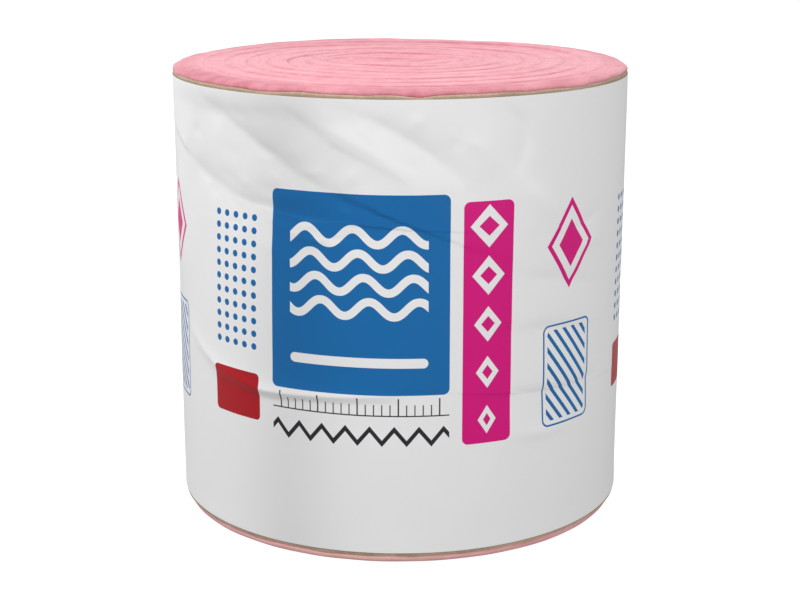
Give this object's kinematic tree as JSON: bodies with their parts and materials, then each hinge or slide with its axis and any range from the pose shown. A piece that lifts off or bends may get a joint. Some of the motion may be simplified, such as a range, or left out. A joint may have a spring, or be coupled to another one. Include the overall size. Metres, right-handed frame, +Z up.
{
  "type": "rolled fiberglass insulation batt",
  "caption": "Coreless roll of pink kraft-faced glass wool insulation standing on end in a white film sleeve, with its wound turns showing at top and bottom.",
  "frame": {"origin": "middle of the floor end, on the floor", "axes": "+Z up along the axis of the roll; -Y is the front of the sleeve, and the lap of the film is behind, at +Y"},
  "size_m": [0.5954, 0.5961, 0.584],
  "materials": {
    "glass_wool": "soft, fluffy, fully matte pink glass fibre",
    "kraft_paper": "matte brown kraft paper",
    "sleeve_film": "satin white polyethylene film with a plain printed panel"
  },
  "bodies": {
    "root": {"glass_wool_roll": "glass_wool", "kraft_facing": "kraft_paper", "film_sleeve": "sleeve_film"}
  },
  "joints": []
}
